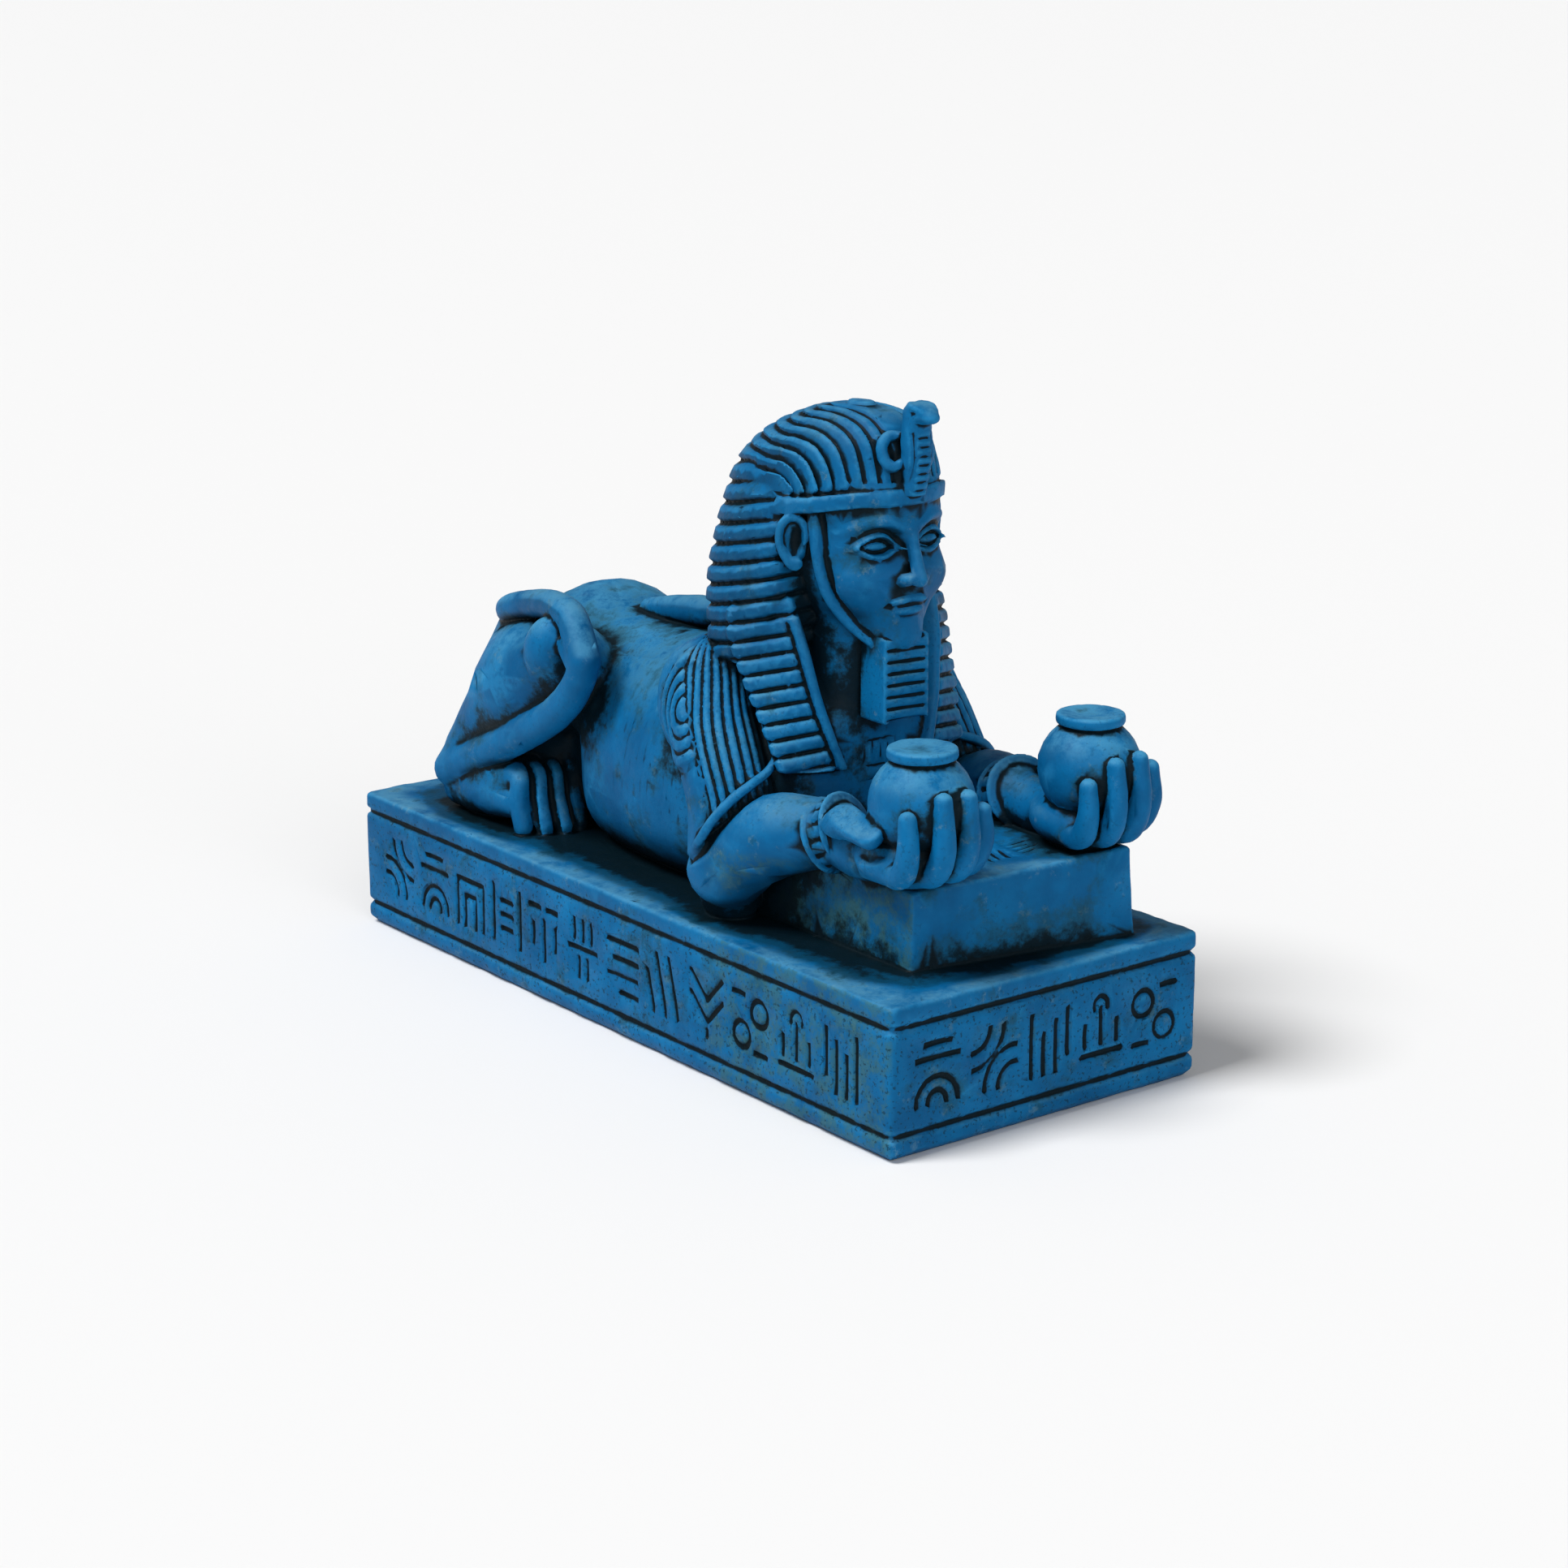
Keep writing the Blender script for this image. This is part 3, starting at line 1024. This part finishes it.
def skin_of(clay):
    """Points in steps of the grid, triangles and quads of the clay's surface."""
    grid = openvdb.FloatGrid(background=FAR)
    grid.copyFromArray(np.ascontiguousarray(np.clip(clay.d, -2, 2)))
    return grid.convertToPolygons(isovalue=0.0, adaptivity=ADAPTIVITY)


def mesh_from(name, points, triangles, quads):
    mesh = bpy.data.meshes.new(name)
    loops = np.concatenate([triangles.ravel(), quads.ravel()]).astype(np.int32)
    totals = np.concatenate([np.full(len(triangles), 3), np.full(len(quads), 4)]).astype(np.int32)
    starts = np.concatenate([[0], np.cumsum(totals)[:-1]]).astype(np.int32)
    mesh.vertices.add(len(points))
    mesh.vertices.foreach_set("co", points.astype(np.float32).ravel())
    mesh.loops.add(len(loops))
    mesh.loops.foreach_set("vertex_index", loops)
    mesh.polygons.add(len(totals))
    mesh.polygons.foreach_set("loop_start", starts)
    mesh.update(calc_edges=True)
    mesh.validate()
    return mesh


def sampled(field, spots, coarse=1):
    """Values of a grid field at points given in millimetres."""
    places = [(spots[:, n] - AXES[n][0]) / (STEP * coarse) for n in range(3)]
    base = [np.clip(np.floor(p).astype(int), 0, field.shape[n] - 2) for n, p in enumerate(places)]
    part = [np.clip(p - b, 0, 1) for p, b in zip(places, base)]
    out = np.zeros(len(spots), np.float32)
    for corner in np.ndindex(2, 2, 2):
        weight = np.ones(len(spots))
        for n, step in enumerate(corner):
            weight = weight * (part[n] if step else 1 - part[n])
        out += weight * field[base[0] + corner[0], base[1] + corner[1], base[2] + corner[2]]
    return out


points, triangles, quads = skin_of(whole)
points = points * STEP + np.array([AXES[0][0], AXES[1][0], AXES[2][0]])
mesh = mesh_from("sphinx_casting", points / 1000, triangles, quads)
statue = bpy.data.objects.new("sphinx_casting", mesh)
bpy.context.scene.collection.objects.link(statue)

# How full the space is within four distances of each point
MEDIUM_REACH, COARSE_REACH, WIDE_REACH = 1.4, 4.2, 9.0
SPARSE = 3
filled = np.clip(0.5 - whole.d / STEP, 0, 1).astype(np.float32)
fine = blurred(filled, 1)
medium = blurred(filled, round(MEDIUM_REACH / STEP))
sparse = filled[::SPARSE, ::SPARSE, ::SPARSE]
coarse = blurred(np.ascontiguousarray(sparse), round(COARSE_REACH / (SPARSE * STEP)))
wide = blurred(np.ascontiguousarray(sparse), round(WIDE_REACH / (SPARSE * STEP)))

# Carved places keep more of their triangles
SHARES = 10
detail = np.abs(sampled(fine, points) - 0.5) * 3.2 + np.abs(sampled(medium, points) - 0.5) * 1.2
group = statue.vertex_groups.new(name="carved")
levels = np.round(np.clip(detail, 0, 1) * SHARES).astype(int)
for level in range(1, SHARES + 1):
    group.add(np.nonzero(levels == level)[0].tolist(), level / SHARES, "REPLACE")
thin = statue.modifiers.new("fewer", "DECIMATE")
thin.ratio = min(1.0, MOST_TRIANGLES / (len(triangles) + 2 * len(quads)))
thin.vertex_group = "carved"
thin.invert_vertex_group = True
thin.vertex_group_factor = 1.5
depsgraph = bpy.context.evaluated_depsgraph_get()
lean = bpy.data.meshes.new_from_object(statue.evaluated_get(depsgraph))
statue.modifiers.clear()
statue.vertex_groups.clear()
statue.data = lean
lean.name = "sphinx_casting"
bpy.data.meshes.remove(mesh)
lean.shade_smooth()
print("mesh", len(lean.vertices), "points", sum(len(p.vertices) - 2 for p in lean.polygons), "triangles")

spots = np.empty(len(lean.vertices) * 3, np.float32)
lean.vertices.foreach_get("co", spots)
spots = spots.reshape(-1, 3) * 1000
relief = lean.attributes.new("relief", "FLOAT_COLOR", "POINT")
packed = np.stack([sampled(fine, spots), sampled(medium, spots), sampled(coarse, spots, SPARSE),
                   sampled(wide, spots, SPARSE)], 1)
relief.data.foreach_set("color", packed.astype(np.float32).ravel())

# Finish: blue stone casting with a near-black wash and worn, dusty high spots


def casting_material():
    material = bpy.data.materials.new("blue_cast_stone")
    material.use_nodes = True
    nodes, links = material.node_tree.nodes, material.node_tree.links
    nodes.clear()

    def node(kind, **values):
        item = nodes.new(kind)
        for key, value in values.items():
            setattr(item, key, value)
        return item

    def connect(value, socket):
        """Links another node's value to the socket, or sets a plain one."""
        if isinstance(value, bpy.types.NodeSocket):
            links.new(value, socket)
        else:
            socket.default_value = value

    def maths(kind):
        """A function that combines values from left to right."""
        def combine(result, *others):
            for other in others:
                item = node("ShaderNodeMath", operation=kind)
                connect(result, item.inputs[0])
                connect(other, item.inputs[1])
                result = item.outputs[0]
            return result
        return combine

    times, plus, minus, most = (maths(kind) for kind in ("MULTIPLY", "ADD", "SUBTRACT", "MAXIMUM"))

    def ramp(source, low, high):
        """Smooth step from 0 where the source is low to 1 where it is high."""
        item = node("ShaderNodeMapRange", interpolation_type="SMOOTHSTEP")
        for name, value in (("Value", source), ("From Min", low), ("From Max", high)):
            connect(value, item.inputs[name])
        return item.outputs["Result"]

    def noise(scale, detail, rough):
        item = node("ShaderNodeTexNoise")
        for name, value in (("Scale", scale), ("Detail", detail), ("Roughness", rough), ("Vector", place)):
            connect(value, item.inputs[name])
        return item.outputs["Fac"]

    def mixed(share, below, above):
        item = node("ShaderNodeMix", data_type="RGBA")
        for n, value in ((0, share), (6, below), (7, above)):
            connect(value, item.inputs[n])
        return item.outputs[2]

    def paint(colour, share, amount, tint):
        """Lays a tint on the colour, by the amount where the share is 1."""
        return mixed(times(share, amount), colour, (*tint, 1))

    def uneven(value, amount):
        """The value shifted up and down by the patches."""
        return plus(value, times(minus(patches, 0.5), amount))

    def parts_of(kind, source):
        item = node(kind)
        links.new(source, item.inputs[0])
        return item.outputs

    place = node("ShaderNodeTexCoord").outputs["Object"]
    relief_values = node("ShaderNodeAttribute", attribute_name="relief", attribute_type="GEOMETRY").outputs
    fine_fill, medium_fill, coarse_fill = parts_of("ShaderNodeSeparateColor", relief_values["Color"])
    wide_fill = relief_values["Alpha"]
    facing_x, _, facing_z = parts_of("ShaderNodeSeparateXYZ", node("ShaderNodeNewGeometry").outputs["Normal"])
    _, length, height = parts_of("ShaderNodeSeparateXYZ", place)

    cloud = noise(55, 5, 0.6)
    grain = noise(420, 4, 0.65)
    speck = noise(1300, 2, 0.6)
    patches = noise(120, 6, 0.7)
    fleck = noise(260, 5, 0.75)

    # Blue in lighter and darker clouds
    colour = mixed(ramp(cloud, 0.3, 0.7), (0.0009, 0.080, 0.215, 1), (0.0018, 0.135, 0.335, 1))
    # Dust on high spots that face up, and worn edges
    upward = ramp(facing_z, 0.1, 0.95)
    dust = times(upward, ramp(coarse_fill, 0.5, 0.36), ramp(patches, 0.3, 0.62))
    colour = paint(colour, dust, 0.62, (0.09, 0.30, 0.46))
    edge = times(ramp(fine_fill, 0.47, 0.36), ramp(grain, 0.3, 0.6))
    colour = paint(colour, edge, 0.45, (0.02, 0.24, 0.50))
    # Pale, greyish deposit in thin patches
    chalk = times(ramp(fleck, 0.54, 0.64), ramp(patches, 0.50, 0.62))
    colour = paint(colour, chalk, 0.38, (0.14, 0.27, 0.32))
    # Paler, dusty back, between the flanks and the head
    back = times(ramp(height, 0.056, 0.066), ramp(height, 0.080, 0.076), ramp(facing_z, 0.3, 0.8))
    colour = paint(colour, times(back, ramp(patches, 0.34, 0.56)), 0.7, (0.05, 0.26, 0.46))
    # Olive grime in patches round the hollows, and on flat faces near them
    grime = most(ramp(uneven(medium_fill, 1.0), 0.49, 0.66), ramp(uneven(coarse_fill, 1.2), 0.44, 0.68))
    colour = paint(colour, grime, 0.62, (0.010, 0.052, 0.064))
    # Darker film on the sides of the headcloth, above the chest and behind the face
    beside = times(ramp(height, 0.074, 0.082), ramp(length, -0.040, -0.026), ramp(upward, 0.45, 0.15))
    colour = paint(colour, times(beside, ramp(patches, 0.22, 0.42)), 0.7, (0.001, 0.036, 0.095))
    # Olive mottling on the side of the block
    at_block = times(ramp(length, -0.031, -0.040), ramp(height, 0.0470, 0.0445))
    mottle = times(at_block, ramp(facing_x, -0.4, -0.8), ramp(fleck, 0.42, 0.60))
    colour = paint(colour, mottle, 0.6, (0.035, 0.115, 0.115))
    # Fine dark specks where the wash stayed in pores, thickest on the plinth's sides
    porous = most(times(ramp(height, 0.0285, 0.0265), 0.9), times(ramp(cloud, 0.46, 0.62), 0.4))
    pores = times(ramp(speck, 0.58, 0.66), porous)
    colour = paint(colour, pores, 0.75, (0.003, 0.026, 0.045))
    # Dark film on the plinth's top, inside its rim
    plinth_top = times(ramp(facing_z, 0.6, 0.9), ramp(height, 0.0312, 0.0300))
    film = times(ramp(uneven(wide_fill, 0.30), 0.33, 0.44), plinth_top)
    colour = paint(colour, film, 0.75, (0.0016, 0.032, 0.058))
    # Near-black wash in the grooves, in the hollows, under the forms and in pools on the plinth's top
    open_air = (times(upward, 0.10), times(at_block, 0.08), times(ramp(height, 0.080, 0.086), 0.035))
    groove = ramp(uneven(fine_fill, 0.06), 0.515, 0.58)
    hollow = ramp(uneven(medium_fill, 0.32), 0.54, 0.64)
    deep = ramp(uneven(minus(coarse_fill, *open_air), 0.6), 0.51, 0.62)
    under = times(ramp(facing_z, -0.25, -0.7), ramp(coarse_fill, 0.36, 0.5))
    pool = times(ramp(uneven(wide_fill, 0.40), 0.46, 0.56), plinth_top)
    wash = most(groove, hollow, times(deep, 0.95), times(under, 0.8), times(pool, 0.95))
    colour = paint(colour, wash, 0.97, (0.0012, 0.006, 0.009))

    shader = node("ShaderNodeBsdfPrincipled")
    bump = node("ShaderNodeBump")
    surface = minus(plus(times(grain, 0.7), times(speck, 0.3)), times(pores, 0.5))
    for name, value in (("Strength", 0.35), ("Distance", 0.0004), ("Height", surface)):
        connect(value, bump.inputs[name])
    rough = plus(0.45, times(ramp(grain, 0.2, 0.8), 0.17))
    for name, value in (("Base Color", colour), ("Roughness", rough), ("Specular IOR Level", 0.08),
                        ("Normal", bump.outputs["Normal"])):
        connect(value, shader.inputs[name])
    links.new(shader.outputs[0], node("ShaderNodeOutputMaterial").inputs[0])
    return material


lean.materials.clear()
lean.materials.append(casting_material())
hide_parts("sphinx_statue")
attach(statue, "root")

# Floor, light and camera


FLOOR_HALF = 60.0
SKY_STRENGTH = 0.22
PHOTO_WIDTH, FOCAL_PIXELS, SENSOR = 1932, 4235.6, 36.0
CAMERA_PLACE, CAMERA_AZIMUTH, CAMERA_ELEVATION = (-0.4005, -0.5322, 0.2304), -37.49, 15.60


def floor():
    mesh = bpy.data.meshes.new("floor")
    corners = [(a * FLOOR_HALF, b * FLOOR_HALF, 0) for a, b in ((-1, -1), (1, -1), (1, 1), (-1, 1))]
    mesh.from_pydata(corners, [], [(0, 1, 2, 3)])
    plane = bpy.data.objects.new("floor", mesh)
    bpy.context.scene.collection.objects.link(plane)
    material = bpy.data.materials.new("pale_floor")
    material.use_nodes = True
    shader = material.node_tree.nodes["Principled BSDF"]
    shader.inputs["Base Color"].default_value = (0.86, 0.86, 0.86, 1)
    shader.inputs["Roughness"].default_value = 0.9
    mesh.materials.append(material)


def sun(name, come_from, strength, spread):
    """A distant light; its spread is in degrees."""
    data = bpy.data.lights.new(name, "SUN")
    data.energy = strength
    data.angle = math.radians(spread)
    lamp = bpy.data.objects.new(name, data)
    lamp.rotation_euler = Vector(come_from).to_track_quat("Z", "Y").to_euler()
    bpy.context.scene.collection.objects.link(lamp)


floor()
sun("key", come_from=(-0.62, 0.15, 1.0), strength=2.9, spread=22)
sun("fill", come_from=(-0.25, -1.0, 0.40), strength=1.15, spread=50)
world = bpy.data.worlds.new("studio")
world.use_nodes = True
sky = world.node_tree.nodes["Background"]
sky.inputs["Color"].default_value = (1, 1, 1, 1)
sky.inputs["Strength"].default_value = SKY_STRENGTH
bpy.context.scene.world = world

camera_data = bpy.data.cameras.new("camera")
camera_data.sensor_fit = "HORIZONTAL"
camera_data.sensor_width = SENSOR
camera_data.lens = SENSOR * FOCAL_PIXELS / PHOTO_WIDTH
camera_data.clip_start = 0.01
camera_data.clip_end = 20
camera = bpy.data.objects.new("camera", camera_data)
azimuth, elevation = math.radians(CAMERA_AZIMUTH), math.radians(CAMERA_ELEVATION)
level = math.cos(elevation)
back = Vector((math.sin(azimuth) * level, -math.cos(azimuth) * level, math.sin(elevation)))
camera.location = CAMERA_PLACE
camera.rotation_euler = back.to_track_quat("Z", "Y").to_euler()
bpy.context.scene.collection.objects.link(camera)
bpy.context.scene.camera = camera
bpy.context.scene.view_settings.view_transform = "Standard"
